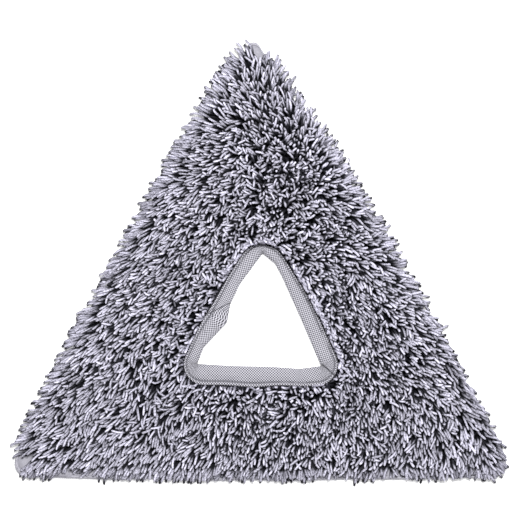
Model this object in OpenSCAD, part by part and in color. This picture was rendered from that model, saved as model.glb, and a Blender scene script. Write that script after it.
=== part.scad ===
// Triangular chenille pad for a steam mop, lying on its smooth back with the pile upwards.
// The origin is on the resting plane, at the middle of the pad's width and depth.
// +X runs to the right corner, +Y to the tip and +Z up through the pile.

/* [Pad] */
// Width across the pile, from the left corner to the right corner
pad_w = 330; // [300:2:360]
// Depth across the pile, from the straight front side to the tip
pad_d = 296; // [280:2:330]
// How far the tip lies to the left of the middle, as the slack cloth rests
tip_shift = 5; // [0:1:10]
// Radius of the pile round the left and right corners
corner_r = 13; // [11:1:18]
// Radius of the pile round the tip
tip_r = 9; // [8:1:13]
// How far the pile bulges out in the middle of a slanting side
side_bulge = 7; // [4:1:10]
// How far the pile bulges out in the middle of the front side
front_bulge = 1.5; // [0:0.5:4]

/* [Layers] */
// Thickness of the loop fabric that grips the mop head
backing_t = 1.5; // [1.2:0.1:2.5]
// Thickness of the absorbent wadding between the two fabrics
core_t = 3; // [2:0.5:6]
// Thickness of the fabric that holds the tufts
ground_t = 1.2; // [0.8:0.1:2]
// Height of the whole pad, up to the top of the pile
pad_h = 17; // [14:1:24]
// How far the pile stands out past the sewn fabric at the corners
fringe = 3; // [2:0.5:4]
// How far the wadding stays back from the sewn edge
core_inset = 7; // [6:1:12]

/* [Steam opening] */
// Width of the opening along the front side
opening_w = 83; // [76:1:88]
// Depth of the opening, from its front edge to its top
opening_d = 75; // [70:1:80]
// How far the front edge of the opening lies in front of the middle of the pad
opening_front = 71; // [68:1:76]
// Width of the binding tape on the pile side
tape_w = 13; // [12:0.5:16]
// Thickness of the binding tape
tape_t = 0.7; // [0.5:0.1:0.7]

/* [Stitches] */
// Distance from one stitch to the next
stitch_pitch = 3.6; // [3:0.2:5]
// Thickness of the sewing thread
thread_d = 0.5; // [0.4:0.1:0.7]

/* [Hidden] */

// Levels of the layers above the resting plane
core_z = backing_t;
ground_z = core_z + core_t;
pile_z = ground_z + ground_t;
tape_z = pile_z + tape_t;

// Each outline runs round three discs: left corner, right corner, tip
LEFT = 0;
RIGHT = 1;
TIP = 2;
corner_x = pad_w / 2 - corner_r;
corner_y = corner_r + front_bulge - pad_d / 2;
pile_discs = [
    [[-corner_x, corner_y], corner_r],
    [[corner_x, corner_y], corner_r],
    [[-tip_shift, pad_d / 2 - tip_r], tip_r]
];
pile_bulge = [front_bulge, side_bulge, side_bulge];
cloth_discs = grown(pile_discs, -fringe);
cloth_bulge = [front_bulge, side_bulge / 2, side_bulge / 2];

// The discs sit in the three corners of the opening
fold_r = 8;
hole_discs = [
    [[4 - opening_w / 2, 2 - opening_front], 0],
    [[opening_w / 2 - 4, 2 - opening_front], 0],
    [[1, opening_d - opening_front - 2.5], 0]
];
top_pull = 4;
layer_discs = pulled(grown(hole_discs, fold_r), top_pull / 2);
tape_discs = pulled(grown(hole_discs, tape_w + 1), top_pull);
lip_w = 2;
seam_discs = pulled(grown(hole_discs, tape_w + 1 - lip_w), top_pull);
no_bulge = [0, 0, 0];

// The inner edge of the tape hangs slack, as corner points from the front edge's middle
edge_x = opening_w / 2;
edge_y = -opening_front;
opening_edge = [
    [1, edge_y + opening_d],
    [-14, edge_y + 56],
    [-21, edge_y + 42],
    [-22.5, edge_y + 30],
    [3.5 - edge_x, edge_y + 14],
    [-edge_x - 0.5, edge_y + 1.5],
    [edge_x - 1.5, edge_y],
    [14, edge_y + 62]
];

// The end of the tape lies over its start, between a slanting fold and this far above it
overlap_len = 14;
fold_mid = [-29, edge_y + 38.5];
fold_turn = 26;
overlap_rise = 62;

segments = 12;

// The pile parts along lines from the opening's corners, turned this far from the sides' normals
wedge_reach = 400;
part_turn = 4;

function grown(discs, by) = [for (d = discs) [d[0], d[1] + by]];

function pulled(discs, by) = [discs[LEFT], discs[RIGHT], [discs[TIP][0], discs[TIP][1] - by]];

function heading(a) = [cos(a), sin(a)];

// Angle of the outward normal on the side from disc a to disc b
function side_normal(a, b) =
    let (d = b[0] - a[0])
    atan2(d.y, d.x) - acos((a[1] - b[1]) / norm(d));

function next_disc(discs, i) = discs[(i + 1) % len(discs)];

function last_disc(discs, i) = discs[(i + len(discs) - 1) % len(discs)];

// First angle and sweep of the arc round disc i
function arc_of(discs, i) =
    let (
        a0 = side_normal(last_disc(discs, i), discs[i]),
        a1 = side_normal(discs[i], next_disc(discs, i))
    )
    [a0, (a1 - a0 + 720) % 360];

// The point at share t of the bulging side that follows disc i
function side_point(discs, bulge, i, t) =
    let (
        a = discs[i],
        b = next_disc(discs, i),
        n = heading(side_normal(a, b))
    )
    (a[0] + a[1] * n) * (1 - t) + (b[0] + b[1] * n) * t + n * bulge[i] * 4 * t * (1 - t);

function outline(discs, bulge) = [
    for (i = [0 : len(discs) - 1])
        let (arc = arc_of(discs, i))
        each concat(
            [for (k = [0 : segments]) discs[i][0] + discs[i][1] * heading(arc[0] + arc[1] * k / segments)],
            [for (k = [1 : segments - 1]) side_point(discs, bulge, i, k / segments)]
        )
];

// Stitch places along an outline, each with its point and its direction
function stitch_places(discs, bulge, pitch) = [
    for (i = [0 : len(discs) - 1])
        let (
            arc = arc_of(discs, i),
            bends = max(1, round(discs[i][1] * arc[1] * PI / 180 / pitch)),
            side = norm(side_point(discs, bulge, i, 1) - side_point(discs, bulge, i, 0)),
            straights = round(side / pitch),
            way = side_normal(discs[i], next_disc(discs, i)) + 90
        )
        each concat(
            [
                for (k = [0 : bends - 1])
                    let (a = arc[0] + arc[1] * (k + 0.5) / bends)
                    [discs[i][0] + discs[i][1] * heading(a), a + 90]
            ],
            [
                for (k = [0 : straights - 1])
                    let (t = (k + 0.5) / straights)
                    [side_point(discs, bulge, i, t), way + atan(4 * bulge[i] * (2 * t - 1) / side)]
            ]
        )
];

module slab(points, z0, z1) {
    translate([0, 0, z0])
        linear_extrude(z1 - z0)
            polygon(points);
}

// One stitch, a short length of thread that lies along the seam
module stitch(place, z) {
    translate([place[0].x, place[0].y, z])
        rotate([0, 90, place[1]])
            cylinder(h = 0.72 * stitch_pitch, d = thread_d, center = true, $fn = 16);
}

// The strip on which the tape's end lies over its start
module overlap_strip(z0, z1) {
    translate([fold_mid.x, fold_mid.y, z0])
        rotate([0, 0, overlap_rise])
            linear_extrude(z1 - z0)
                polygon([[0, -8], [overlap_len, -8], [overlap_len, 8], [-3, 8]]);
}

module loop_backing() {
    color("lightgray")
        difference() {
            slab(outline(cloth_discs, cloth_bulge), 0, backing_t);
            slab(outline(layer_discs, no_bulge), -1, backing_t + 1);
            slab(outline(tape_discs, no_bulge), -1, tape_t);
        }
}

module absorbent_core() {
    color("white")
        difference() {
            slab(outline(grown(cloth_discs, 1 - core_inset), cloth_bulge), core_z, ground_z);
            slab(outline(layer_discs, no_bulge), core_z - 1, ground_z + 1);
        }
}

module face_ground() {
    color("silver")
        difference() {
            slab(outline(cloth_discs, cloth_bulge), core_z, pile_z);
            slab(outline(grown(cloth_discs, -ground_t), cloth_bulge), core_z - 1, ground_z);
            slab(outline(layer_discs, no_bulge), core_z - 1, pile_z + 1);
        }
}

// The whole pile as one body of tufts: a skirt, a full belt and a lower shoulder on top
module pile_body() {
    skirt_z = 1;
    belt_top = pad_h - 4;
    shoulder = 5;
    difference() {
        union() {
            slab(outline(pile_discs, pile_bulge), skirt_z, belt_top);
            slab(outline(grown(pile_discs, -shoulder), pile_bulge), belt_top - 2, pad_h);
        }
        slab(outline(cloth_discs, cloth_bulge), -1, pile_z);
        slab(outline(tape_discs, no_bulge), -1, pad_h + 1);
    }
}

// The pile beyond one corner of the opening
module pile_round(i, shade) {
    arc = arc_of(tape_discs, i);
    centre = tape_discs[i][0];
    color(shade)
        intersection() {
            pile_body();
            slab([
                centre,
                centre + wedge_reach * heading(arc[0] + part_turn),
                centre + 2 * wedge_reach * heading(arc[0] + arc[1] / 2),
                centre + wedge_reach * heading(arc[0] + arc[1] - part_turn)
            ], -1, pad_h + 1);
        }
}

// The pile along one side of the opening
module pile_along(i, shade) {
    from = tape_discs[i];
    to = next_disc(tape_discs, i);
    out = side_normal(from, to);
    color(shade)
        intersection() {
            pile_body();
            slab([
                from[0],
                from[0] + wedge_reach * heading(out - part_turn),
                to[0] + wedge_reach * heading(out + part_turn),
                to[0]
            ], -1, pad_h + 1);
        }
}

module pile_tip() pile_round(TIP, "slategray");

module pile_left_side() pile_along(TIP, "lightslategray");

module pile_left_corner() pile_round(LEFT, "slategray");

module pile_front_side() pile_along(LEFT, "lightslategray");

module pile_right_corner() pile_round(RIGHT, "slategray");

module pile_right_side() pile_along(RIGHT, "lightslategray");

// One strip of tape, folded over the edge of all layers, with its end laid over its start
module opening_binding() {
    color("gainsboro") {
        difference() {
            slab(outline(tape_discs, no_bulge), 0, tape_z);
            difference() {
                slab(outline(grown(tape_discs, 1), no_bulge), tape_t, pile_z);
                slab(outline(layer_discs, no_bulge), 0, tape_z);
            }
            slab(opening_edge, -1, tape_z + 1);
        }
        difference() {
            intersection() {
                overlap_strip(pile_z, tape_z + tape_t);
                slab(outline(tape_discs, no_bulge), 0, pad_h);
            }
            slab(opening_edge, -1, pad_h);
        }
    }
}

function along_strip(p) =
    let (d = p - fold_mid)
    d.x * cos(overlap_rise) + d.y * sin(overlap_rise);

function on_strip(p) = p.x < 0 && along_strip(p) > -4 && along_strip(p) < overlap_len + 2;

module binding_stitches() {
    color("whitesmoke")
        for (place = stitch_places(seam_discs, no_bulge, stitch_pitch))
            stitch(place, tape_z + thread_d / 2 + (on_strip(place[0]) ? tape_t : 0));
}

// A short row across the tape that holds its folded end down
module overlap_stitches() {
    row = 3;
    color("whitesmoke")
        for (k = [0 : row - 1])
            stitch(
                [fold_mid + 2.4 * heading(overlap_rise) + (k - 1) * stitch_pitch * heading(fold_turn), fold_turn],
                tape_z + tape_t + thread_d / 2
            );
}

// The seam that joins the two fabrics inside the turned edge
module edge_stitches() {
    color("whitesmoke")
        for (place = stitch_places(grown(cloth_discs, -3.5), cloth_bulge, stitch_pitch))
            stitch(place, core_z + thread_d / 2);
}

loop_backing();
absorbent_core();
face_ground();
pile_tip();
pile_left_side();
pile_left_corner();
pile_front_side();
pile_right_corner();
pile_right_side();
opening_binding();
binding_stitches();
overlap_stitches();
edge_stitches();
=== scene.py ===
import math

import bpy
import numpy as np
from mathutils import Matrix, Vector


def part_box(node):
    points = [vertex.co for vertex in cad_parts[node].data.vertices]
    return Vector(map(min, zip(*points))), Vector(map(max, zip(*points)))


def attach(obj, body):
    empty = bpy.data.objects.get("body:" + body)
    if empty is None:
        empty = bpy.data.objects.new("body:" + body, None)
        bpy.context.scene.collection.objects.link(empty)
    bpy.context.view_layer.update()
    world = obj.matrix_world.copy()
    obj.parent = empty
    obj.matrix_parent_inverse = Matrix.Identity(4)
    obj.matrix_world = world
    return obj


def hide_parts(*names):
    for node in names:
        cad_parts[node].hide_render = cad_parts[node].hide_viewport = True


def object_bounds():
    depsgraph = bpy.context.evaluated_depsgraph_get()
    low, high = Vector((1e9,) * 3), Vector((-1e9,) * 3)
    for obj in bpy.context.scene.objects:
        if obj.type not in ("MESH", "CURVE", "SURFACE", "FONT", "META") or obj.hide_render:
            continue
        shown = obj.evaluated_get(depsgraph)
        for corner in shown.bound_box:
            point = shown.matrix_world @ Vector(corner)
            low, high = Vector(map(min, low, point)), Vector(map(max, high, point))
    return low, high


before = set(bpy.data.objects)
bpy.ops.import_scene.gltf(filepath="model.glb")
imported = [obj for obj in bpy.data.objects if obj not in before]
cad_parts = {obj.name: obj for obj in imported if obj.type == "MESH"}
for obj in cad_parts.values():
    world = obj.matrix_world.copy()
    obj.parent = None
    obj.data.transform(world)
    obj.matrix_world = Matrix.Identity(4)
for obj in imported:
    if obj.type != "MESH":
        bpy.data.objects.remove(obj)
cad_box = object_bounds()

# A triangular chenille pad of a steam mop, lying on its back. Shapes are worked out in millimetres
# in the CAD frame and go into Blender in metres.
MM = 0.001
SEED = 11
BODY = "root"


# ---------------- outlines

def box_mm(node):
    low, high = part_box(node)
    return np.array(low) / MM, np.array(high) / MM


PAD_LOW, PAD_HIGH = (np.array(c) / MM for c in cad_box)
CLOTH_LOW, CLOTH_HIGH = box_mm("face_ground")
TAPE_LOW, TAPE_HIGH = box_mm("opening_binding")
BACK_TOP = box_mm("loop_backing")[1][2]
CORE_TOP = box_mm("absorbent_core")[1][2]
GROUND_Z = CLOTH_HIGH[2]
PILE_TOP = round(float(PAD_HIGH[2]), 3)

# The pad's outlines run round three discs: left corner, right corner, tip
CORNER_R = 10.0
TIP_R = 4.5
TIP_SLACK = 2.5
LEFT_SLACK = 0.5
TIP_X = -5.0
FRONT_BULGE = 1.5
SIDE_BULGE = 3.5
TAPE_R = 14.0
APEX_X = 1.0
TAPE_TOP_R = 17.0
TAPE_BULGE = (1.0, 1.5, 1.7)


def rounded(discs, bulge=(0.0, 0.0, 0.0), arc_steps=14, side_steps=24):
    """A closed outline round discs (x, y, r), anticlockwise, whose sides bulge outwards."""
    points = []
    n = len(discs)
    normals = []
    for i in range(n):
        (ax, ay, ar), (bx, by, br) = discs[i], discs[(i + 1) % n]
        normals.append(math.atan2(by - ay, bx - ax) - math.acos((ar - br) / math.hypot(bx - ax, by - ay)))
    for i in range(n):
        x, y, r = discs[i]
        start, end = normals[i - 1], normals[i]
        sweep = (end - start) % math.tau
        for k in range(arc_steps + 1):
            a = start + sweep * k / arc_steps
            points.append((x + r * math.cos(a), y + r * math.sin(a)))
        bx, by, br = discs[(i + 1) % n]
        out = np.array((math.cos(end), math.sin(end)))
        a0, b0 = np.array((x, y)) + r * out, np.array((bx, by)) + br * out
        for k in range(1, side_steps):
            t = k / side_steps
            points.append(tuple(a0 * (1 - t) + b0 * t + out * bulge[i] * 4 * t * (1 - t)))
    return np.array(points)


def cloth_outline(grow=0.0):
    left, right = CLOTH_LOW[0] + CORNER_R, CLOTH_HIGH[0] - CORNER_R
    front = CLOTH_LOW[1] + FRONT_BULGE + CORNER_R
    discs = [(left - LEFT_SLACK, front, CORNER_R + grow), (right, front, CORNER_R + grow),
             (TIP_X, CLOTH_HIGH[1] + TIP_SLACK - TIP_R, TIP_R + grow)]
    return rounded(discs, (FRONT_BULGE, SIDE_BULGE, SIDE_BULGE))


def tape_outline(grow=0.0):
    left, right = TAPE_LOW[0] + TAPE_R, TAPE_HIGH[0] - TAPE_R
    front = TAPE_LOW[1] + TAPE_R
    discs = [(left, front, TAPE_R + grow), (right, front, TAPE_R + grow),
             (APEX_X, TAPE_HIGH[1] - TAPE_TOP_R, TAPE_TOP_R + grow)]
    return rounded(discs, TAPE_BULGE)


def distance_out(outline, points):
    """How far points lie outside a convex anticlockwise outline; negative inside."""
    a = outline
    b = np.roll(outline, -1, axis=0)
    d = b - a
    normal = np.stack([d[:, 1], -d[:, 0]], axis=1) / np.linalg.norm(d, axis=1)[:, None]
    offset = (a * normal).sum(axis=1)
    every = points @ normal.T - offset
    best = every.argmax(axis=1)
    return every[np.arange(len(points)), best], normal[best]


def resampled(points, count):
    """The closed outline again, with count points spaced evenly along it."""
    closed = np.vstack([points, points[:1]])
    along = np.concatenate([[0], np.cumsum(np.linalg.norm(np.diff(closed, axis=0), axis=1))])
    at = np.linspace(0, along[-1], count, endpoint=False)
    return np.stack([np.interp(at, along, closed[:, k]) for k in range(closed.shape[1])], axis=1)


def softened(points, rounds):
    """A closed outline with its corners eased by repeated averaging."""
    for _ in range(rounds):
        points = 0.25 * np.roll(points, 1, axis=0) + 0.5 * points + 0.25 * np.roll(points, -1, axis=0)
    return points


# ---------------- mesh helpers

def add_mesh(name, verts_mm, faces, smooth=True):
    mesh = bpy.data.meshes.new(name)
    mesh.from_pydata((np.asarray(verts_mm) * MM).tolist(), [], faces)
    mesh.polygons.foreach_set("use_smooth", [smooth] * len(mesh.polygons))
    mesh.update()
    piece = bpy.data.objects.new(name, mesh)
    bpy.context.collection.objects.link(piece)
    return piece


def grid_faces(rows, cols, wrap_rows=False, wrap_cols=False, start=0):
    """Quads of a grid of points stored row by row."""
    r = np.arange(rows if wrap_rows else rows - 1)
    c = np.arange(cols if wrap_cols else cols - 1)
    r, c = [g.ravel() for g in np.meshgrid(r, c, indexing="ij")]
    r2, c2 = (r + 1) % rows, (c + 1) % cols
    return (np.stack([r * cols + c, r * cols + c2, r2 * cols + c2, r2 * cols + c], axis=1) + start).tolist()


def set_uv(piece, name, per_vertex):
    """A UV map whose values are given for each vertex."""
    mesh = piece.data
    layer = mesh.uv_layers.new(name=name)
    index = np.zeros(len(mesh.loops), np.int32)
    mesh.loops.foreach_get("vertex_index", index)
    layer.data.foreach_set("uv", np.asarray(per_vertex, np.float32)[index].ravel())


def set_loop_uv(piece, name, per_loop):
    """A UV map whose values are given for each corner of each face."""
    layer = piece.data.uv_layers.new(name=name)
    layer.data.foreach_set("uv", np.asarray(per_loop, np.float32).ravel())


def set_value(piece, name, per_vertex):
    layer = piece.data.attributes.new(name, "FLOAT", "POINT")
    layer.data.foreach_set("value", np.asarray(per_vertex, np.float32))


def rounded_noise(points, scale, seed):
    """Smooth noise from -1 to 1 at 2-D points, from a lattice of random values scale apart."""
    rng = np.random.default_rng(seed)
    size = 64
    lattice = rng.uniform(-1, 1, (size, size))
    p = np.asarray(points)[..., :2] / scale + 17.3
    cell = np.floor(p).astype(int)
    f = p - cell
    f = f * f * (3 - 2 * f)
    x0, y0 = cell[..., 0] % size, cell[..., 1] % size
    x1, y1 = (x0 + 1) % size, (y0 + 1) % size
    fx, fy = f[..., 0], f[..., 1]
    low = lattice[x0, y0] * (1 - fx) + lattice[x1, y0] * fx
    high = lattice[x0, y1] * (1 - fx) + lattice[x1, y1] * fx
    return low * (1 - fy) + high * fy


# ---------------- materials

class Nodes:
    """A small helper that builds a material's node tree."""

    def __init__(self, name):
        self.material = bpy.data.materials.new(name)
        self.material.use_nodes = True
        self.tree = self.material.node_tree
        self.shader = self.tree.nodes["Principled BSDF"]

    def add(self, kind, inputs=None, **settings):
        node = self.tree.nodes.new(kind)
        for key, value in settings.items():
            setattr(node, key, value)
        for key, value in (inputs or {}).items():
            self.feed(node.inputs[key], value)
        return node

    def feed(self, socket, value):
        if isinstance(value, bpy.types.NodeSocket):
            self.tree.links.new(value, socket)
        else:
            socket.default_value = value

    def math(self, operation, a, b=0.0, c=0.0):
        node = self.add("ShaderNodeMath", operation=operation)
        for socket, value in zip(node.inputs, (a, b, c)):
            self.feed(socket, value)
        return node.outputs[0]

    def ramp(self, value, stops):
        node = self.add("ShaderNodeValToRGB", {"Fac": value})
        elements = node.color_ramp.elements
        while len(elements) < len(stops):
            elements.new(0.5)
        for element, (place, colour) in zip(elements, stops):
            element.position = place
            element.color = (*colour, 1)
        return node.outputs["Color"]

    def mix(self, share, a, b, blend="MIX"):
        node = self.add("ShaderNodeMix", data_type="RGBA", blend_type=blend)
        self.feed(node.inputs["Factor"], share)
        self.feed(node.inputs["A"], a if isinstance(a, bpy.types.NodeSocket) else (*a, 1))
        self.feed(node.inputs["B"], b if isinstance(b, bpy.types.NodeSocket) else (*b, 1))
        return node.outputs["Result"]

    def noise(self, vector, scale, detail=2.0):
        inputs = {"Vector": vector, "Scale": scale, "Detail": detail}
        return self.add("ShaderNodeTexNoise", inputs).outputs[0]

    def bump(self, height, distance, strength=1.0, normal=None):
        inputs = {"Height": height, "Distance": distance, "Strength": strength}
        if normal is not None:
            inputs["Normal"] = normal
        return self.add("ShaderNodeBump", inputs).outputs[0]

    def finish(self, colour, roughness, normal=None, sheen=0.0, specular=0.2):
        self.feed(self.shader.inputs["Base Color"], colour)
        self.feed(self.shader.inputs["Roughness"], roughness)
        if normal is not None:
            self.feed(self.shader.inputs["Normal"], normal)
        self.shader.inputs["Specular IOR Level"].default_value = specular
        self.shader.inputs["Sheen Weight"].default_value = sheen
        self.shader.inputs["Sheen Roughness"].default_value = 0.5
        return self.material


# Millimetres of yarn in a turn of its two plies, and of tape in a repeat of its weave
YARN_TWIST = 1.7
WEAVE_PITCH = 1.75


def chenille_material():
    n = Nodes("chenille_yarn")
    along = n.add("ShaderNodeAttribute", attribute_name="along").outputs["Fac"]
    shade = n.add("ShaderNodeAttribute", attribute_name="shade").outputs["Fac"]
    place = n.add("ShaderNodeTexCoord").outputs["Object"]
    yarn = n.add("ShaderNodeSeparateXYZ", {"Vector": n.add("ShaderNodeUVMap", uv_map="yarn").outputs[0]})
    climb = n.math("MULTIPLY", yarn.outputs[1], math.tau / YARN_TWIST)
    turns = n.math("MULTIPLY_ADD", yarn.outputs[0], 2 * math.tau, climb)
    ply = n.math("MULTIPLY_ADD", n.math("SINE", turns), 0.5, 0.5)
    fuzz = n.noise(place, 1300.0, 3.0)
    clumps = n.noise(place, 60.0, 2.0)
    # painted shade: where a tuft lies deep under the pile's top or faces away from up, its colour is mixed
    # towards near-black
    painted_shade = n.add("ShaderNodeAttribute", attribute_name="painted_shade").outputs["Fac"]
    # painted shade: the ramp darkens the yarn towards its roots, deep in the pile, and lightens it towards
    # the tips
    length = n.ramp(along, [(0.0, (0.02, 0.02, 0.026)), (0.3, (0.16, 0.157, 0.19)),
                            (0.6, (0.71, 0.693, 0.835)), (1.0, (0.86, 0.84, 1.0))])
    painted_shade_mix = n.ramp(painted_shade, [(0.0, (0, 0, 0)), (0.3, (0.2, 0.2, 0.2)), (0.9, (0.97, 0.97, 0.97))])
    length = n.mix(painted_shade_mix, length, (0.012, 0.012, 0.016))
    tone = n.math("MULTIPLY_ADD", shade, 0.5, 0.72)
    tone = n.math("MULTIPLY", tone, n.math("MULTIPLY_ADD", fuzz, 1.3, 0.35))
    tone = n.math("MULTIPLY", tone, n.math("MULTIPLY_ADD", ply, 0.45, 0.72))
    tone = n.math("MULTIPLY", tone, n.math("MULTIPLY_ADD", clumps, 0.3, 0.85))
    grey = n.add("ShaderNodeCombineColor", {"Red": tone, "Green": tone, "Blue": tone}).outputs[0]
    colour = n.mix(1.0, length, grey, "MULTIPLY")
    normal = n.bump(ply, 0.0005, 0.8, n.bump(fuzz, 0.0007, 0.8))
    return n.finish(colour, 0.95, normal, specular=0.04)


def tape_material():
    n = Nodes("woven_tape")
    uv = n.add("ShaderNodeUVMap", uv_map="tape").outputs[0]
    turned = n.add("ShaderNodeVectorRotate", {"Vector": uv, "Angle": math.radians(4)},
                   rotation_type="Z_AXIS")
    parts = n.add("ShaderNodeSeparateXYZ", {"Vector": turned.outputs[0]})
    warp = n.math("SINE", n.math("MULTIPLY", parts.outputs[0], math.tau / WEAVE_PITCH))
    weft = n.math("SINE", n.math("MULTIPLY", parts.outputs[1], math.tau / WEAVE_PITCH))
    weave = n.math("MULTIPLY_ADD", n.math("MULTIPLY", warp, weft), 0.5, 0.5)
    place = n.add("ShaderNodeTexCoord").outputs["Object"]
    blotch = n.noise(place, 90.0, 3.0)
    fine = n.noise(place, 2200.0, 2.0)
    crease = n.add("ShaderNodeAttribute", attribute_name="crease").outputs["Fac"]
    groove = n.add("ShaderNodeAttribute", attribute_name="groove").outputs["Fac"]
    pits = n.ramp(weave, [(0.0, (0.005, 0.005, 0.007)), (0.38, (0.06, 0.059, 0.073)),
                          (0.56, (0.64, 0.63, 0.70)), (1.0, (0.78, 0.77, 0.84))])
    base = n.mix(n.math("MULTIPLY", blotch, 0.12), pits, (0.36, 0.353, 0.40))
    base = n.mix(n.math("MULTIPLY", fine, 0.15), base, (0.25, 0.245, 0.29))
    # painted shade: the tape's colour is darkened along the seam's groove and in its creases and pleats
    dark = n.math("MINIMUM", n.math("MULTIPLY_ADD", groove, 0.8, crease), 0.92)
    colour = n.mix(dark, base, (0.05, 0.049, 0.062))
    normal = n.bump(weave, 0.0005, 0.9, n.bump(fine, 0.0002, 0.5))
    return n.finish(colour, 0.85, normal, sheen=0.15)


def knit_material(name, dark, light, scale=1100.0):
    n = Nodes(name)
    place = n.add("ShaderNodeTexCoord").outputs["Object"]
    fine = n.noise(place, scale, 3.0)
    blotch = n.noise(place, 70.0, 3.0)
    loops = n.add("ShaderNodeTexVoronoi", {"Vector": place, "Scale": scale * 0.8}).outputs["Distance"]
    shade = n.math("MULTIPLY_ADD", fine, 0.6, n.math("MULTIPLY", blotch, 0.4))
    shade = n.math("MULTIPLY_ADD", loops, 0.9, n.math("SUBTRACT", shade, 0.35))
    colour = n.mix(shade, dark, light)
    normal = n.bump(loops, 0.0002, 0.6, n.bump(fine, 0.0002, 0.6))
    return n.finish(colour, 0.92, normal, sheen=0.2)


def ground_material():
    n = Nodes("ground_fabric_painted_shade")
    place = n.add("ShaderNodeTexCoord").outputs["Object"]
    fine = n.noise(place, 1100.0, 3.0)
    selvedge = n.add("ShaderNodeAttribute", attribute_name="selvedge").outputs["Fac"]
    # painted shade: the ground cloth is painted near-black where the pile covers it, standing in for the
    # shade between the tufts; the selvedge and bare spots keep the cloth's own light grey
    dark = n.mix(fine, (0.008, 0.008, 0.011), (0.028, 0.027, 0.035))
    light = n.mix(fine, (0.26, 0.255, 0.295), (0.50, 0.49, 0.55))
    return n.finish(n.mix(selvedge, dark, light), 0.95, n.bump(fine, 0.0002, 0.6), specular=0.04)


def thread_material():
    n = Nodes("sewing_thread")
    place = n.add("ShaderNodeTexCoord").outputs["Object"]
    ply = n.add("ShaderNodeTexWave", {"Vector": place, "Scale": 900.0, "Distortion": 1.0}).outputs["Fac"]
    colour = n.mix(ply, (0.16, 0.157, 0.19), (0.30, 0.295, 0.34))
    return n.finish(colour, 0.55, n.bump(ply, 0.0001, 0.6), sheen=0.1)


def floor_material():
    n = Nodes("studio_floor")
    place = n.add("ShaderNodeTexCoord").outputs["Object"]
    colour = n.mix(n.noise(place, 3.0), (0.93, 0.93, 0.935), (0.95, 0.95, 0.955))
    n.shader.inputs["Emission Color"].default_value = (1, 1, 1, 1)
    n.shader.inputs["Emission Strength"].default_value = 0.35
    return n.finish(colour, 0.9)


# ---------------- the pile

# How the pile lies: place as shares of half the width and half the depth, heading in degrees from
# +X towards +Y, and lean in degrees from upright. It is combed outwards all round and towards the
# front left, and stands most upright to the right of the opening.
COMBED = [
    (-0.10, 0.80, 150, 60), (0.12, 0.82, 60, 50),
    (-0.32, 0.50, 180, 60), (0.00, 0.48, 195, 35), (0.20, 0.50, 45, 25), (0.38, 0.48, 15, 50),
    (-0.50, 0.15, 210, 60), (-0.22, 0.15, 225, 35), (0.20, 0.15, 330, 20), (0.48, 0.15, 335, 50),
    (-0.70, -0.25, 210, 60), (-0.42, -0.25, 225, 35), (0.40, -0.25, 300, 25), (0.68, -0.25, 315, 50),
    (-0.85, -0.60, 215, 60), (-0.50, -0.60, 225, 55), (0.00, -0.60, 255, 20), (0.45, -0.60, 285, 25),
    (0.85, -0.60, 305, 50), (-0.70, -0.90, 225, 60), (-0.20, -0.90, 240, 50), (0.30, -0.90, 255, 40),
    (0.80, -0.90, 280, 45),
]
COMB_REACH = 0.15

# The tufts: distance between roots, share of them kept where the pile lies flat, radius and length
TUFT_PITCH = 2.68
FLAT_SHARE = 0.76
TUFT_R = 0.90
TUFT_LEN = 16.5
# Points along a tuft's centre line, and the rounds in which the pile settles
BEADS = 9
SETTLE_ROUNDS = 45
# Tufts in extra rows beside the tape, along the front and along the slanting sides
RING_TUFTS = 165
FRONT_TUFTS = 430
SIDE_TUFTS = 270
# Where the cloth shows: centre as shares of half the width and half the depth, then half width and
# half depth in millimetres
BARE_SPOTS = [(-0.97, -0.91, 6, 6), (-0.01, 0.97, 4, 6), (-0.75, -0.99, 14, 4), (0.28, -1.0, 12, 3),
              (0.53, -1.0, 13, 3), (0.82, -1.0, 12, 2.5)]


def combed(points):
    """Heading vectors and lean in radians at points, eased between the places in COMBED."""
    table = np.array(COMBED, float)
    half = (PAD_HIGH[:2] - PAD_LOW[:2]) / 2
    apart = points[:, None, :] / half - table[None, :, :2]
    weight = np.exp(-(apart ** 2).sum(axis=2) / (2 * COMB_REACH ** 2)) + 1e-9
    weight /= weight.sum(axis=1, keepdims=True)
    angle = np.radians(table[:, 2])
    lean = np.radians(table[:, 3])
    heading = np.stack([weight @ (np.cos(angle) * np.sin(lean)),
                        weight @ (np.sin(angle) * np.sin(lean))], axis=1)
    size = np.linalg.norm(heading, axis=1)
    agreed = size / (weight @ np.sin(lean))
    return heading / np.maximum(size, 1e-6)[:, None], weight @ lean * (0.45 + 0.55 * agreed), agreed


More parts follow.
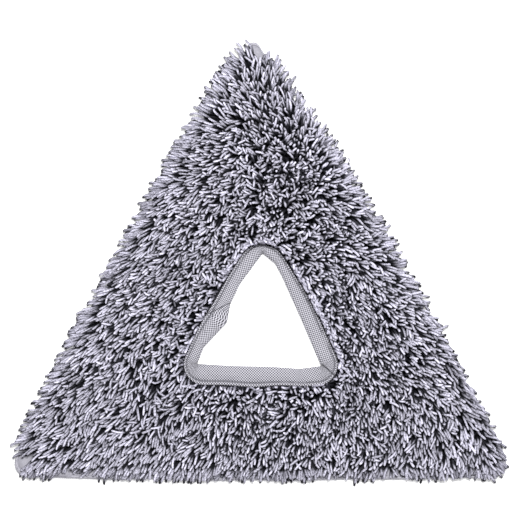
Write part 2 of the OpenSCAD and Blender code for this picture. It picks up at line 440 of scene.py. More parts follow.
def tuft_roots(rng):
    """Tuft places on a jittered staggered grid, inside the seam and outside the tape."""
    step_y = TUFT_PITCH * math.sqrt(3) / 2
    rows = []
    for j, y in enumerate(np.arange(PAD_LOW[1], PAD_HIGH[1], step_y)):
        x = np.arange(PAD_LOW[0], PAD_HIGH[0], TUFT_PITCH) + (j % 2) * TUFT_PITCH / 2
        rows.append(np.stack([x, np.full(len(x), y)], axis=1))
    places = np.vstack(rows)
    places += rng.uniform(-0.9, 0.9, places.shape)
    edge = distance_out(cloth_outline(), places)[0]
    tape = distance_out(tape_outline(), places)[0]
    tip_bare = 5.0 * np.clip((places[:, 1] - (PAD_HIGH[1] - 14)) / 10, 0, 1)
    _, lean, agreed = combed(places)
    kept = rng.uniform(0, 1, len(places)) < np.interp(lean, np.radians([25, 50]), [1.0, FLAT_SHARE])
    inside = (edge < -fringe_inset(places) - tip_bare) & (tape > 2.1)
    parting = places[inside & (rng.uniform(0, 1, len(places)) < 0.5 * (0.75 - agreed))]
    places = np.vstack([places[inside & kept], parting + (TUFT_PITCH / 2, 0)])
    beside_tape = resampled(tape_outline(0.8), RING_TUFTS)
    front = resampled(cloth_outline(-FRONT_INSET - 0.8), FRONT_TUFTS)
    front = front[frontness(front) > 0.4]
    sides = resampled(cloth_outline(-1.5), SIDE_TUFTS)
    sides = sides[(frontness(sides) == 0) & (sides[:, 1] < PAD_HIGH[1] - 16)]
    extra = np.vstack([beside_tape, front, sides])
    return np.vstack([places, extra + rng.uniform(-0.5, 0.5, extra.shape)])


# How far the outermost roots stay inside the cloth's edge, at the sides and along the front
SIDE_INSET = 1.0
FRONT_INSET = 10.5
# Near the edge tufts bend over it and hang down, most steeply along the front
FRINGE_BAND = 12.0
SIDE_DROOP = math.radians(34)
FRONT_DROOP = math.radians(74)
# Near the tape they turn along it
TAPE_BAND = 8.0


def frontness(points):
    """1 along the pad's front side, 0 further back."""
    return np.clip(1 - (points[:, 1] - CLOTH_LOW[1]) / 24.0, 0, 1)


def fringe_inset(points):
    """How far the outermost roots stay inside the cloth's edge, a little unevenly along the front."""
    uneven = 1.6 * rounded_noise(points, 26.0, SEED + 40)
    return SIDE_INSET + (FRONT_INSET + uneven - SIDE_INSET) * frontness(points)


def tuft_lines(rng, roots):
    """The tufts' centre lines before they settle: an array of tuft, bead, xyz."""
    count = len(roots)
    heading, lean, agreed = combed(roots)
    edge, outward = distance_out(cloth_outline(), roots)
    fringe = np.clip(1 + (edge + fringe_inset(roots)) / FRINGE_BAND, 0, 1)
    droop = fringe * (SIDE_DROOP + (FRONT_DROOP - SIDE_DROOP) * frontness(roots))
    heading = heading * (1 - 0.38 * fringe[:, None]) + outward * 0.38 * fringe[:, None]
    lean = lean + (np.radians(70) - lean) * fringe
    beside, from_tape = distance_out(tape_outline(), roots)
    beside = np.clip(1 - beside / TAPE_BAND, 0, 1)
    along_tape = np.stack([-from_tape[:, 1], from_tape[:, 0]], axis=1) * rng.choice([-1.0, 1.0], (count, 1))
    heading = heading * (1 - 0.4 * beside[:, None]) + 0.5 * beside[:, None] * along_tape
    calm = np.interp(roots[:, 0], [-60.0, 40.0], [0.75, 0.35])
    unrest = 1 - calm * np.clip(1 + (edge + 12) / 45.0, 0, 1)
    lean = lean * (1 - 0.5 * beside)
    turn = 0.55 * rounded_noise(roots, 19.0, SEED) + 0.4 * rounded_noise(roots, 7.5, SEED + 1)
    scatter = rng.normal(0, 0.22, count) + np.clip(0.95 - agreed, 0, 1) * rng.uniform(-4, 4, count)
    turn += scatter
    azimuth = np.arctan2(heading[:, 1], heading[:, 0]) + turn * unrest
    lean = lean + np.radians(10) * unrest
    uneven = np.radians(7) * rounded_noise(roots, 9.0, SEED + 2) + rng.normal(0, 0.2, count)
    lean = lean + uneven * (0.3 + 0.7 * unrest)
    lean = np.clip(lean, 0.03, np.radians(82))
    length = TUFT_LEN * (1 + rng.normal(0, 0.06, count)) * (1 - 0.14 * fringe * frontness(roots))
    length *= 1 - 0.18 * np.clip(1 + edge / 5.0, 0, 1)
    curl = (0.6 * rounded_noise(roots, 10.0, SEED + 3) + rng.normal(0, 0.5, count)) * (0.1 + 0.9 * unrest)
    wave = rng.uniform(0, math.tau, (2, count))
    step = length / (BEADS - 1)
    line = np.zeros((count, BEADS, 3))
    line[:, 0, :2] = roots
    line[:, 0, 2] = GROUND_Z - 0.3
    for k in range(1, BEADS):
        share = k / (BEADS - 1)
        tilt = lean * min(1.0, 0.3 + 1.0 * share) + droop * share ** 1.5
        tilt = tilt + 0.22 * np.sin(wave[0] + 5 * share)
        aim = azimuth + curl * (share - 0.2) + (0.2 + 0.25 * unrest) * np.sin(wave[1] + 5 * share)
        way = np.stack([np.sin(tilt) * np.cos(aim), np.sin(tilt) * np.sin(aim), np.cos(tilt)], axis=1)
        line[:, k] = line[:, k - 1] + way * step[:, None]
    return line


def bare_spots():
    """BARE_SPOTS with their centres in millimetres."""
    half_w, half_d = (PAD_HIGH[:2] - PAD_LOW[:2]) / 2
    return [(x * half_w, y * half_d, across, deep) for x, y, across, deep in BARE_SPOTS]


def bare(line):
    """Whether a tuft would start, bend or end on a bare spot of the cloth."""
    spot = np.zeros(len(line), bool)
    for x, y, across, deep in bare_spots():
        for k in (0, BEADS // 2, BEADS - 1):
            spot |= ((line[:, k, 0] - x) / across) ** 2 + ((line[:, k, 1] - y) / deep) ** 2 < 1
    return spot


def near_pairs(points, owner, reach):
    """Pairs of points of different tufts nearer than reach, found through a grid of cells."""
    cell = np.floor((points - points.min(axis=0)) / reach).astype(np.int64) + 1
    span = cell.max(axis=0) + 2
    key = (cell[:, 0] * span[1] + cell[:, 1]) * span[2] + cell[:, 2]
    order = np.argsort(key, kind="stable")
    ranked = key[order]
    firsts, seconds = [], []
    for dx in (-1, 0, 1):
        for dy in (-1, 0, 1):
            for dz in (-1, 0, 1):
                wanted = key + (dx * span[1] + dy) * span[2] + dz
                low = np.searchsorted(ranked, wanted, "left")
                many = np.searchsorted(ranked, wanted, "right") - low
                first = np.repeat(np.arange(len(points)), many)
                begin = np.repeat(low - np.concatenate([[0], np.cumsum(many)[:-1]]), many)
                second = order[begin + np.arange(len(first))]
                keep = (first < second) & (owner[first] != owner[second])
                firsts.append(first[keep])
                seconds.append(second[keep])
    first, second = np.concatenate(firsts), np.concatenate(seconds)
    close = np.linalg.norm(points[first] - points[second], axis=1) < reach
    return first[close], second[close]


def press_height(roots):
    """How high the pressed pile stands over each root: lower where it lies, and at the edges."""
    lean = combed(roots)[1]
    edge = distance_out(cloth_outline(), roots)[0]
    height = PILE_TOP - 5.0 * np.clip(lean / np.radians(65), 0, 1) + 0.6 * rounded_noise(roots, 8.0, SEED + 4)
    return height - 4.5 * np.clip(1 + edge / 14.0, 0, 1)


# How far outside the cloth's edge the tufts have come down to the floor
EDGE_FALL = 4.0


def settle(line, rounds):
    """Lets the tufts sink, push each other aside and rest on the cloth, without stretching."""
    count, beads, _ = line.shape
    start = line.copy()
    step = np.linalg.norm(line[:, 1] - line[:, 0], axis=1)
    owner = np.repeat(np.arange(count), beads)
    fixed = np.tile(np.arange(beads) < 2, count)
    stiff = np.linspace(0.20, 0.02, beads)[None, :, None]
    cloth, tape = cloth_outline(), tape_outline()
    ceiling = press_height(line[:, 0, :2])[:, None]
    pairs = None
    for turn in range(rounds):
        line[:, 2:] += (stiff * (start - line))[:, 2:]
        sink = 0.10 + 0.22 * np.clip(1 + distance_out(cloth, line[:, -1, :2])[0] / 6.0, 0, 1)
        line[:, 2:, 2] -= sink[:, None] * np.linspace(0.3, 1.0, beads - 2)
        line[:, 2:, 2] -= 0.5 * np.clip(line[:, 2:, 2] - ceiling, 0, None)
        flat = line.reshape(-1, 3)
        if turn % 3 == 0:
            pairs = near_pairs(flat, owner, 2.6 * TUFT_R)
        a, b = pairs
        gap = flat[a] - flat[b]
        far = np.linalg.norm(gap, axis=1)
        push = np.clip(2 * TUFT_R - far, 0, None) * 0.42
        move = gap / np.maximum(far, 1e-6)[:, None] * push[:, None]
        total = np.zeros_like(flat)
        for axis in range(3):
            total[:, axis] += np.bincount(a, move[:, axis], len(flat))
            total[:, axis] -= np.bincount(b, move[:, axis], len(flat))
        total[fixed] = 0
        size = np.linalg.norm(total, axis=1, keepdims=True)
        flat += total * np.minimum(1, 0.9 / np.maximum(size, 1e-6))
        line = straightened(flat.reshape(count, beads, 3), 0.10)
        for k in range(1, beads):
            way = line[:, k] - line[:, k - 1]
            long = np.linalg.norm(way, axis=1, keepdims=True)
            line[:, k] = line[:, k - 1] + way / np.maximum(long, 1e-6) * step[:, None]
        flat = line.reshape(-1, 3)
        out = distance_out(cloth, flat[:, :2])[0]
        slope = np.clip(out / EDGE_FALL, 0, 1)
        floor = np.where(out < 0, GROUND_Z + 0.6 * TUFT_R, GROUND_Z * (1 - slope) ** 2 + TUFT_R)
        low = (flat[:, 2] < floor) & ~fixed
        flat[low, 2] = floor[low]
        into, aside = distance_out(tape, flat[:, :2])
        cover = np.clip(0.6 - into, 0, 1.5) * 0.7
        cover[fixed] = 0
        flat[:, :2] += aside * cover[:, None]
        line = flat.reshape(count, beads, 3)
    for _ in range(2):
        line = straightened(line, 0.4)
    return line


def straightened(line, share):
    """The lines again, with the bends above their second bead eased by a share."""
    eased = line.copy()
    eased[:, 2:-1] += share * (0.5 * (line[:, 1:-2] + line[:, 3:]) - line[:, 2:-1])
    eased[:, -1] += 0.5 * share * (2 * line[:, -2] - line[:, -3] - line[:, -1])
    return eased


def ring_shares(rings):
    """Places of the rings along a tuft; the last ones are close together, for its blunt end."""
    return np.concatenate([np.linspace(0, 0.93, rings - 2), [0.975, 1.0]])


def smooth_line(line, rings):
    """Points along each line on a Catmull-Rom curve."""
    beads = line.shape[1]
    before, after = 2 * line[:, :1] - line[:, 1:2], 2 * line[:, -1:] - line[:, -2:-1]
    padded = np.concatenate([before, line, after], axis=1)
    at = (beads - 1) * ring_shares(rings)
    i = np.minimum(at.astype(int), beads - 2)
    t = (at - i)[None, :, None]
    p0, p1, p2, p3 = padded[:, i], padded[:, i + 1], padded[:, i + 2], padded[:, i + 3]
    return 0.5 * (2 * p1 + (p2 - p0) * t + (2 * p0 - 5 * p1 + 4 * p2 - p3) * t ** 2
                  + (3 * p1 - p0 - 3 * p2 + p3) * t ** 3)


def pile_tops(path):
    """A function that gives the pile's height near points, from the highest bead in each small cell."""
    cell = 2.6
    low = PAD_LOW[:2] - 30
    shape = np.ceil((PAD_HIGH[:2] + 30 - low) / cell).astype(int) + 1
    top = np.full(shape, GROUND_Z)
    flat = path.reshape(-1, 3)
    at = np.floor((flat[:, :2] - low) / cell).astype(int)
    np.maximum.at(top, (at[:, 0], at[:, 1]), flat[:, 2] + TUFT_R)
    for _ in range(2):
        for axis in (0, 1):
            top = 0.25 * np.roll(top, 1, axis) + 0.5 * top + 0.25 * np.roll(top, -1, axis)

    def at_points(points):
        p = (points[..., :2] - low) / cell - 0.5
        i = np.clip(np.floor(p).astype(int), 0, shape - 2)
        f = np.clip(p - i, 0, 1)
        x, y, fx, fy = i[..., 0], i[..., 1], f[..., 0], f[..., 1]
        near = top[x, y] * (1 - fx) + top[x + 1, y] * fx
        return near * (1 - fy) + (top[x, y + 1] * (1 - fx) + top[x + 1, y + 1] * fx) * fy

    return at_points


# Painted shade: the yarn's colour is darkened where it lies this deep under the pile's top, and on the
# sides of its tubes that face away from up, but less so near the pile's open edges, where light reaches its
# sides
PAINTED_SHADE_DEPTH = 1.6
EDGE_BAND = 4.0
TAPE_SIDE = 5.0


def tuft_mesh(name, line, radius, rng, shade, tops, rings=11, sides=5):
    """One mesh of yarn tubes with blunt ends, one for each line."""
    count = len(line)
    path = smooth_line(line, rings)
    way = np.gradient(path, axis=1)
    way /= np.maximum(np.linalg.norm(way, axis=2, keepdims=True), 1e-6)
    up = np.where(np.abs(way[..., 2:3]) > 0.9, np.array([1.0, 0, 0]), np.array([0, 0, 1.0]))
    side = np.cross(way, up)
    side /= np.maximum(np.linalg.norm(side, axis=2, keepdims=True), 1e-6)
    other = np.cross(way, side)
    # the last rings close the tip into a dome
    along = ring_shares(rings)
    length = np.linalg.norm(np.diff(path, axis=1), axis=2).sum(axis=1)
    from_tip = (1 - along)[None, :] * length[:, None]
    dome = np.sqrt(np.clip(1 - (1 - np.clip(from_tip / radius[:, None], 0, 1)) ** 2, 0.0, 1))
    dome[:, -1] = 0.4
    angle = np.arange(sides) * math.tau / sides
    lump = 1 + rng.uniform(-0.09, 0.09, (count, rings, sides)) + rng.uniform(-0.06, 0.06, (count, rings, 1))
    r = radius[:, None, None] * dome[:, :, None] * lump
    verts = (path[:, :, None] + side[:, :, None] * (np.cos(angle)[None, None, :, None] * r[..., None])
             + other[:, :, None] * (np.sin(angle)[None, None, :, None] * r[..., None]))
    per = rings * sides
    first = (np.arange(count) * per)[:, None, None]
    quads = (np.array(grid_faces(rings, sides, wrap_cols=True))[None] + first).reshape(-1, 4)[:, ::-1]
    cap = (np.arange(per - sides, per)[::-1][None] + first[:, 0]).tolist()
    foot = (np.arange(sides)[None] + first[:, 0]).tolist()
    piece = add_mesh(name, verts.reshape(-1, 3), quads.tolist() + cap + foot)
    set_value(piece, "shade", np.repeat(shade, per))
    flat = verts.reshape(-1, 3)
    # near the pile's open edges and beside the tape less shade is painted: the ramp's dark roots are skipped
    # there and the depth shade is weakened
    beyond = distance_out(cloth_outline(), flat[:, :2])[0] + 0.5 * FRONT_INSET * frontness(flat)
    from_tape = distance_out(tape_outline(), flat[:, :2])[0]
    at_edge = np.clip(1 + beyond / EDGE_BAND, 0, 1)
    in_open = np.clip(np.maximum(0.7 * at_edge, 1 - from_tape / TAPE_SIDE), 0, 1)
    set_value(piece, "along", np.maximum(np.tile(np.repeat(along, sides), count), 0.6 * in_open))
    # painted shade: each tube is painted darker on the sides that face sideways and down, and lighter along
    # its top
    upward = side[:, :, None, 2] * np.cos(angle) + other[:, :, None, 2] * np.sin(angle)
    aside = np.clip(1 - upward, 0, 1).ravel() ** 1.2
    # painted shade from the depth under the pile's top, added to the side shade and weakened at the open
    # edges
    depth = np.maximum(tops(flat) - flat[:, 2] - 0.3, 0) / PAINTED_SHADE_DEPTH
    set_value(piece, "painted_shade", np.clip((depth + aside) * (1 - 0.8 * in_open), 0, 1))
    # UV maps: round the yarn and along it in millimetres, and one small rectangle for each tuft
    ring, column = [g.ravel() for g in np.meshgrid(np.arange(rings - 1), np.arange(sides), indexing="ij")]
    u = np.stack([column, column, column + 1, column + 1], axis=1) / sides
    v = np.stack([ring, ring + 1, ring + 1, ring], axis=1) / (rings - 1)
    around = np.tile(u.ravel(), count)
    share = np.tile(v.ravel(), count)
    owner = np.repeat(np.arange(count), len(u) * 4)
    ends = np.repeat(np.arange(count), sides)
    turn = np.tile(np.arange(sides) / sides, count)
    yarn_u = np.concatenate([around, turn, turn])
    share = np.concatenate([share, np.ones(len(turn)), np.zeros(len(turn))])
    owner = np.concatenate([owner, ends, ends])
    phase = rng.uniform(0, 1, count)
    set_loop_uv(piece, "yarn", np.stack([yarn_u, share * length[owner] + 40 * phase[owner]], axis=1))
    across = math.ceil(math.sqrt(count))
    cell = np.stack([owner % across, owner // across], axis=1)
    inside = np.stack([yarn_u, share], axis=1)
    set_loop_uv(piece, "OFBake", (cell + 0.08 + 0.84 * inside) / across)
    return piece


PILE_NODES = ["pile_tip", "pile_left_side", "pile_left_corner", "pile_front_side", "pile_right_corner",
              "pile_right_side"]
# Half the angle that a corner's pile takes up, seen from the middle of the opening
CORNER_SPREAD = 38.0


def pile_part(roots):
    """Which pile node each root belongs to: the corners of the opening part the pile."""
    left, right = TAPE_LOW[0] + TAPE_R, TAPE_HIGH[0] - TAPE_R
    front, back = TAPE_LOW[1] + TAPE_R, TAPE_HIGH[1] - TAPE_R
    corners = [np.array((APEX_X, back)), np.array((left, front)), np.array((right, front))]
    middle = sum(corners) / 3
    aims = [np.degrees(np.arctan2(*(c - middle)[::-1])) % 360 for c in corners]
    angle = np.degrees(np.arctan2(roots[:, 1] - middle[1], roots[:, 0] - middle[0])) % 360
    part = np.full(len(roots), -1)
    for k, aim in enumerate(aims):
        off = np.abs((angle - aim + 180) % 360 - 180)
        part[off < CORNER_SPREAD] = 2 * k
    for k, (low, high) in enumerate([(aims[0], aims[1]), (aims[1], aims[2]), (aims[2], aims[0] + 360)]):
        inside = ((angle - low) % 360) < ((high - low) % 360)
        part[inside & (part < 0)] = 2 * k + 1
    return part


def build_pile():
    rng = np.random.default_rng(SEED)
    roots = tuft_roots(rng)
    line = tuft_lines(rng, roots)
    shown = ~bare(line)
    roots, line = roots[shown], settle(line[shown], SETTLE_ROUNDS)
    radius = TUFT_R * (1 + rng.normal(0, 0.07, len(roots)))
    shade = rng.uniform(0, 1, len(roots))
    part = pile_part(roots)
    tops = pile_tops(smooth_line(line, 12))
    material = chenille_material()
    pieces = []
    for k, node in enumerate(PILE_NODES):
        mine = part == k
        piece = tuft_mesh("tufts_" + node[5:], line[mine], radius[mine], rng, shade[mine], tops)
        piece.data.materials.append(material)
        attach(piece, BODY)
        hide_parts(node)
        pieces.append(piece)
    return pieces


# ---------------- the sheets

def aligned(outline, count, start):
    """An outline resampled from the point on the ray from start's place straight up."""
    dense = resampled(outline, 2400)
    centre = np.array(start)
    angle = np.arctan2(dense[:, 1] - centre[1], dense[:, 0] - centre[0])
    first = int(np.abs(angle - math.pi / 2).argmin())
    return resampled(np.roll(dense, -first, axis=0), count)


OPENING_MIDDLE = (0.0, -45.0)


def sheet_ring(name, rows_xyz, close_tube):
    """A mesh through rows of closed rings; a tube closes back on its first row."""
    rows, count = len(rows_xyz), len(rows_xyz[0])
    verts = np.vstack(rows_xyz)
    return add_mesh(name, verts, grid_faces(rows, count, wrap_rows=close_tube, wrap_cols=True))


def with_z(ring, z):
    return np.column_stack([ring, np.broadcast_to(z, len(ring))])


def build_backing():
    """The smooth loop fabric under the pad, turned up round the sewn edge."""
    count = 420
    inner = aligned(tape_outline(-5), count, OPENING_MIDDLE)
    outer = aligned(cloth_outline(), count, OPENING_MIDDLE)
    thick = 1.1
    rise = CORE_TOP
    wave = rounded_noise(outer, 22.0, SEED + 5)
    rows = []
    for share in np.linspace(0, 1, 26)[:-1]:
        ring = inner * (1 - share) + outer * share
        rows.append(with_z(ring, 0.25 + 0.2 * rounded_noise(ring, 14.0, SEED + 6)))
    middle = np.array(OPENING_MIDDLE)
    away = (outer - middle) / np.linalg.norm(outer - middle, axis=1)[:, None]
    for turn in np.linspace(0, math.pi / 2, 5):
        ring = outer + away * (1.2 * math.sin(turn) - 0.4 + 0.7 * wave[:, None])
        rows.append(with_z(ring, 0.3 + 1.4 * (1 - math.cos(turn))))
    for share in (0.35, 0.7, 1.0):
        ring = outer + away * (0.8 - 1.6 * share ** 2 + 0.7 * wave[:, None])
        rows.append(with_z(ring, 1.7 + (rise - 1.2) * share + 0.35 * wave))
    upper = []
    for k, row in enumerate(rows):
        inward = np.zeros_like(row)
        bend = max(0, k - 24) / (len(rows) - 25)
        inward[:, :2] = -away * thick * min(1, 1.6 * bend)
        inward[:, 2] = thick * max(0.0, 1 - 1.4 * bend)
        upper.append(row + inward)
    piece = sheet_ring("backing_sheet", rows + upper[::-1], True)
    piece.data.materials.append(knit_material("loop_fabric", (0.27, 0.265, 0.31), (0.50, 0.49, 0.55)))
    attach(piece, BODY)
    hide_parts("loop_backing")
    return piece


def build_ground():
    """The cloth that holds the tufts, with its edge sewn to the backing."""
    count = 420
    inner = aligned(tape_outline(-5), count, OPENING_MIDDLE)
    outer = aligned(cloth_outline(-0.5), count, OPENING_MIDDLE)
    rows = []
    for share in np.linspace(0, 1, 30):
        ring = inner * (1 - share) + outer * share
        drop = 0.5 * max(0.0, share - 0.93) / 0.07
        rows.append(with_z(ring, GROUND_Z - 0.3 - drop + 0.25 * rounded_noise(ring, 12.0, SEED + 8)))
    lower = [row - np.array((0, 0, 0.9)) for row in rows]
    piece = sheet_ring("ground_sheet", lower + rows[::-1], True)
    flat = np.vstack(lower + rows[::-1])
    # selvedge is 1 where the cloth's own light grey shows; elsewhere the cloth keeps its near-black painted
    # shade
    beyond = distance_out(cloth_outline(), flat[:, :2])[0] + fringe_inset(flat)
    spots = np.max([1.6 - np.hypot((flat[:, 0] - x) / across, (flat[:, 1] - y) / deep)
                    for x, y, across, deep in bare_spots()], axis=0)
    set_value(piece, "selvedge", np.maximum(smooth_step((beyond - 0.5) / 1.5), smooth_step(spots / 0.4)))
    piece.data.materials.append(ground_material())
    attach(piece, BODY)
    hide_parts("face_ground")
    return piece


def build_core():
    """The wadding between the sheets, a soft pad with pulled-in edges."""
    count = 300
    inner = aligned(tape_outline(-3), count, OPENING_MIDDLE)
    outer = aligned(cloth_outline(-6), count, OPENING_MIDDLE)
    low, high = BACK_TOP + 0.1, CORE_TOP - 0.3
    middle = (low + high) / 2
    rows = []
    shares = np.linspace(0, 1, 22)
    for side in (1, -1):
        for share in (shares if side > 0 else shares[::-1]):
            ring = inner * (1 - share) + outer * share
            plump = min(1.0, 6 * share, 6 * (1 - share)) ** 0.5
            lift = side * (high - low) / 2 * (0.25 + 0.75 * plump)
            rows.append(with_z(ring, middle + lift + 0.12 * rounded_noise(ring, 9.0, SEED + 9)))
    piece = sheet_ring("wadding", rows, True)
    piece.data.materials.append(knit_material("wadding_felt", (0.6, 0.6, 0.62), (0.82, 0.82, 0.84), 500.0))
    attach(piece, BODY)
    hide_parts("absorbent_core")
    return piece


# ---------------- the binding tape

def in_tape(x, y):
    """The point in millimetres at these shares of the binding's box."""
    return TAPE_LOW[:2] + (TAPE_HIGH - TAPE_LOW)[:2] * (x, y)


# The tape's slack inner edge, as corner points
OPENING_EDGE = [(0.51, 0.94), (0.365, 0.725), (0.30, 0.575), (0.28, 0.45), (0.13, 0.275), (0.087, 0.155),
                (0.305, 0.14), (0.58, 0.133), (0.75, 0.12), (0.89, 0.14), (0.76, 0.475), (0.635, 0.78),
                (0.59, 0.87)]
# Where the tape's end is turned under and lies over its start, and the crease in its front right corner
OVERLAP_MIDDLE = in_tape(0.22, 0.535)
OVERLAP_TURN = math.radians(26)
CREASE_FROM = in_tape(0.90, 0.14)
CREASE_TO = in_tape(0.985, 0.06)
# Small pleats that fan out from the opening's corners: place, pleats in a turn, reach and depth
PLEATED = [(in_tape(0.08, 0.15), 24, 6.0, 0.7), (in_tape(0.89, 0.14), 22, 6.5, 0.6),
           (in_tape(0.51, 0.93), 20, 6.0, 0.35)]
TAPE_STEPS = 1100
# Where the seam's groove runs across the tape, and how wide the painted shade along it is, as shares of the
# tape's width
STITCH_SHARE = 0.81
GROOVE_SHADE_WIDTH = 0.04
# The seam's stitches in millimetres
STITCH_PITCH = 3.0
STITCH_LEN = 2.1
STITCH_RISE = 0.3
THREAD_R = 0.2


def edge_line(count):
    dense = resampled(np.array([in_tape(x, y) for x, y in OPENING_EDGE]), 1200)
    return aligned(softened(dense, 14), count, OPENING_MIDDLE)


def nearest_along(line, points, window):
    """For points round a closed line, the nearest places on it, eased so that they move on evenly."""
    count = len(line)
    nearest = np.array([((line - p) ** 2).sum(axis=1).argmin() for p in points])
    step = (np.diff(nearest) + count / 2) % count - count / 2
    index = np.maximum.accumulate(nearest[0] + np.concatenate([[0], np.cumsum(step)]))
    drift = index - np.arange(len(index)) * count / len(index)
    kernel = np.hanning(window + 2)[1:-1]
    kernel /= kernel.sum()
    wrapped = np.concatenate([drift[-window:], drift, drift[:window]])
    drift = np.convolve(wrapped, kernel, "same")[window:-window]
    at = (drift + np.arange(len(index)) * count / len(index)) % count
    closed = np.vstack([line, line[:1]])
    return np.stack([np.interp(at, np.arange(count + 1), closed[:, k]) for k in (0, 1)], axis=1)


def tape_edges():
    """The tape's inner and outer edge lines; the outer one is a little uneven."""
    outer = aligned(tape_outline(), TAPE_STEPS, OPENING_MIDDLE)
    inner = nearest_along(edge_line(2400), outer, 21)
    away = outer - np.array(OPENING_MIDDLE)
    away /= np.linalg.norm(away, axis=1)[:, None]
    outer = outer + away * (0.9 * rounded_noise(outer, 19.0, SEED + 30) - 0.3)[:, None]
    return inner, outer


def smooth_step(x):
    x = np.clip(x, 0, 1)
    return x * x * (3 - 2 * x)


def tape_relief(points):
    """How far layers and creases lift the tape, and how deep in a crease each point lies, 0 to 1; the depth
    is used only as painted shade in the creases.
    """
    lift = np.zeros(len(points))
    crease = np.zeros(len(points))
    along = np.array((math.cos(OVERLAP_TURN), math.sin(OVERLAP_TURN)))
    rel = points - OVERLAP_MIDDLE
    below = rel @ np.array((along[1], -along[0]))
    near = np.abs(rel @ along) < 14
    lift += near * 0.85 * smooth_step((below + 0.25) / 0.5) * smooth_step((24 - below) / 20)
    crease += near * np.exp(-((below + 0.35) / 0.35) ** 2)
    reach = np.linalg.norm(CREASE_TO - CREASE_FROM)
    way = (CREASE_TO - CREASE_FROM) / reach
    rel = points - CREASE_FROM
    share = rel @ way
    off = rel @ np.array((-way[1], way[0]))
    inside = smooth_step((share + 2) / 2) * smooth_step((reach + 2 - share) / 3)
    fold = 0.7 * smooth_step((0.2 - off) / 0.4) * smooth_step((off + 9) / 8)
    lift += inside * (fold - 0.9 * np.exp(-(off / 0.5) ** 2))
    crease += inside * np.exp(-((off - 0.15) / 0.45) ** 2)
    for middle, turns, reach, depth in PLEATED:
        rel = points - middle
        wave = np.sin(turns * np.arctan2(rel[:, 1], rel[:, 0]) + middle[0])
        near = np.exp(-(np.hypot(rel[:, 0], rel[:, 1]) / reach) ** 2)
        lift += 0.35 * depth * near * wave
        crease += depth * near * np.clip(-wave - 0.35, 0, 1)
    return lift, np.clip(crease, 0, 1)


def tape_profile():
    """Share across the tape from its fold outwards, and height as a share of the tape's crown."""
    by_the_seam = [0.78, 0.80, 0.81, 0.82, 0.84, 0.87, 0.91, 0.95, 0.99, 1.01]
    shares = np.concatenate([np.linspace(0, 0.76, 16), by_the_seam])
    crown = 0.52 + 0.5 * np.sin(np.pi * np.clip(shares / 0.84, 0, 1)) ** 0.45
    lip = np.interp(shares, [0.76, 0.79, 0.81, 0.83, 0.87, 0.96, 0.99, 1.01],
                    [0.84, 0.74, 0.72, 0.84, 0.92, 0.92, 0.8, 0.5])
    return shares, np.where(shares > 0.75, lip, crown)


def tape_surface(inner, outer, share, height, ripple):
    """A ring of points on the tape's upper side."""
    ring = inner * (1 - share) + outer * share
    lift, crease = tape_relief(ring)
    pleats = 0.22 * rounded_noise(ring, 3.6, SEED + 21) + 0.35 * rounded_noise(ring, 9.0, SEED + 22)
    top = TAPE_HIGH[2] - 0.6 + 0.5 * ripple
    z = 1.8 + (top - 1.8) * height * 1.12 + (pleats + lift) * min(1.0, 0.3 + 3 * share)
    return with_z(ring, z), crease


def build_tape():
    inner, outer = tape_edges()
    ripple = rounded_noise(inner, 13.0, SEED + 20)
    rows, across, creases = [], [], []
    shares, heights = tape_profile()
    # inwards between the fabrics, down inside the fold, out under the back and in again
    under_side = [(0.95, GROUND_Z - 0.2), (0.4, GROUND_Z - 0.6), (0.14, 3.4), (0.4, 1.2), (0.6, 1.0),
                  (0.75, 0.7), (0.78, 0.35), (0.6, 0.12), (0.3, 0.1), (0.1, 0.2), (0.02, 0.9), (-0.01, 2.0)]
    for share, height in zip(shares, heights):
        row, crease = tape_surface(inner, outer, share, height, ripple)
        rows.append(row)
        across.append(share)
        creases.append(crease)
    for share, z in under_side:
        rows.append(with_z(inner * (1 - share) + outer * share, z))
        across.append(share)
        creases.append(np.zeros(TAPE_STEPS))
    piece = sheet_ring("binding_tape", rows, True)
    lengths = np.concatenate([[0], np.cumsum(np.linalg.norm(np.diff(outer, axis=0), axis=1))])
    width = np.linalg.norm(outer - inner, axis=1)
    uv = np.vstack([np.column_stack([lengths, s * width]) for s in across])
    set_uv(piece, "tape", uv)
    # painted shade in the creases and pleats
    set_value(piece, "crease", np.concatenate(creases))
    # painted shade along the seam's groove
    groove = [math.exp(-((s - STITCH_SHARE) / GROOVE_SHADE_WIDTH) ** 2) for s in shares]
    groove += [0.0] * len(under_side)
    set_value(piece, "groove", np.repeat(groove, TAPE_STEPS))
    piece.data.materials.append(tape_material())
    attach(piece, BODY)
    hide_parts("opening_binding")
    return piece


def tube_along(paths, radius, sides=6):
    """Vertices and faces of closed tubes along short paths of points."""
    verts, faces = [], []
    for path in paths:
        path = np.asarray(path, float)
        start = len(verts)
        way = np.gradient(path, axis=0)
        for k, point in enumerate(path):
            d = way[k] / np.linalg.norm(way[k])
            side = np.cross(d, (0, 0, 1.0))
            side /= max(np.linalg.norm(side), 1e-6)
            up = np.cross(side, d)
            thin = radius * (0.6 if k in (0, len(path) - 1) else 1.0)
            for j in range(sides):
                a = math.tau * j / sides
                verts.append(point + thin * (math.cos(a) * side + math.sin(a) * up))
        quads = grid_faces(len(path), sides, wrap_cols=True, start=start)
        faces += [q[::-1] for q in quads]
        faces.append(list(range(start, start + sides))[::-1])
        faces.append(list(range(start + (len(path) - 1) * sides, start + len(path) * sides)))
    return verts, faces


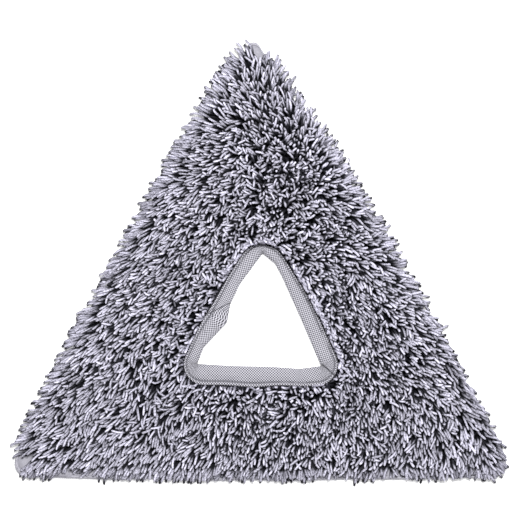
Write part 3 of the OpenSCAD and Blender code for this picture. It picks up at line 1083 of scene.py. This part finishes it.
def build_stitches():
    """Thread in the tape's groove, and a short row across its overlap."""
    inner, outer = tape_edges()
    ripple = rounded_noise(inner, 13.0, SEED + 20)
    shares, heights = tape_profile()
    height = float(np.interp(STITCH_SHARE, shares, heights))
    groove = tape_surface(inner, outer, STITCH_SHARE, height, ripple)[0]
    lengths = np.concatenate([[0], np.cumsum(np.linalg.norm(np.diff(groove, axis=0), axis=1))])
    arch = STITCH_RISE * np.sin(np.linspace(0, math.pi, 7))
    paths = []
    for k in range(int(lengths[-1] / STITCH_PITCH)):
        at = np.linspace(k * STITCH_PITCH, k * STITCH_PITCH + STITCH_LEN, 7)
        point = np.stack([np.interp(at, lengths, groove[:, c]) for c in range(3)], axis=1)
        point[:, 2] += arch - 0.05
        paths.append(point)
    add_stitches("tape_stitches", paths, "binding_stitches")
    along = np.array((math.cos(OVERLAP_TURN), math.sin(OVERLAP_TURN)))
    start = OVERLAP_MIDDLE + 2.2 * np.array((along[1], -along[0]))
    paths = []
    for k in range(-2, 3):
        at = start + along * (k * STITCH_PITCH)
        line = np.array([at + along * STITCH_LEN * t for t in np.linspace(0, 1, 7)])
        paths.append(on_tape(line, inner, outer, ripple, arch))
    add_stitches("tape_end_stitches", paths, "overlap_stitches")


def on_tape(line, inner, outer, ripple, lift):
    """Points of a line set down on the tape's upper side."""
    shares, heights = tape_profile()
    rows = [tape_surface(inner, outer, s, h, ripple)[0] for s, h in zip(shares, heights)]
    surface = np.vstack(rows)
    z = []
    for point in line:
        nearest = np.argsort(((surface[:, :2] - point) ** 2).sum(axis=1))[:4]
        z.append(surface[nearest, 2].mean())
    return np.column_stack([line, np.array(z) + lift])


def add_stitches(name, paths, node):
    verts, faces = tube_along(paths, THREAD_R)
    piece = add_mesh(name, verts, faces)
    piece.data.materials.append(bpy.data.materials["sewing_thread"])
    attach(piece, BODY)
    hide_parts(node)


# ---------------- stage, light and camera

def build_stage():
    size = 3.0
    verts = [(-size, -size, 0), (size, -size, 0), (size, size, 0), (-size, size, 0)]
    mesh = bpy.data.meshes.new("studio_floor")
    mesh.from_pydata(verts, [], [(0, 1, 2, 3)])
    floor = bpy.data.objects.new("studio_floor", mesh)
    bpy.context.collection.objects.link(floor)
    mesh.materials.append(floor_material())


def add_area(name, place, target, size, power):
    data = bpy.data.lights.new(name, "AREA")
    data.shape = "DISK"
    data.size = size
    data.energy = power
    lamp = bpy.data.objects.new(name, data)
    lamp.location = place
    aim = np.array(target) - np.array(place)
    tilt = math.acos(-aim[2] / np.linalg.norm(aim))
    lamp.rotation_euler = (tilt, 0, math.atan2(aim[1], aim[0]) + 1.5 * math.pi)
    bpy.context.collection.objects.link(lamp)
    return lamp


def build_light():
    world = bpy.data.worlds.new("studio")
    bpy.context.scene.world = world
    world.use_nodes = True
    back = world.node_tree.nodes["Background"]
    back.inputs["Color"].default_value = (1, 1, 1, 1)
    back.inputs["Strength"].default_value = 0.2
    add_area("key", (0.1, 0.25, 1.6), (0, 0, 0), 0.45, 35.0)


def build_camera():
    data = bpy.data.cameras.new("camera")
    data.sensor_width = 36.0
    data.lens = 206.9
    camera = bpy.data.objects.new("camera", data)
    elevation = math.radians(84.0)
    reach = 2.0
    middle = np.array((0.0, 0.0, 0.008))
    camera.location = middle + reach * np.array((0, -math.cos(elevation), math.sin(elevation)))
    camera.rotation_euler = (math.pi / 2 - elevation, 0, 0)
    bpy.context.collection.objects.link(camera)
    bpy.context.scene.camera = camera


build_camera()
build_light()
build_stage()
tufts = build_pile()
build_backing()
build_core()
build_ground()
build_tape()
thread = thread_material()
build_stitches()
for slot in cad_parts["edge_stitches"].material_slots:
    slot.material = thread

bpy.context.scene.view_settings.view_transform = "Standard"
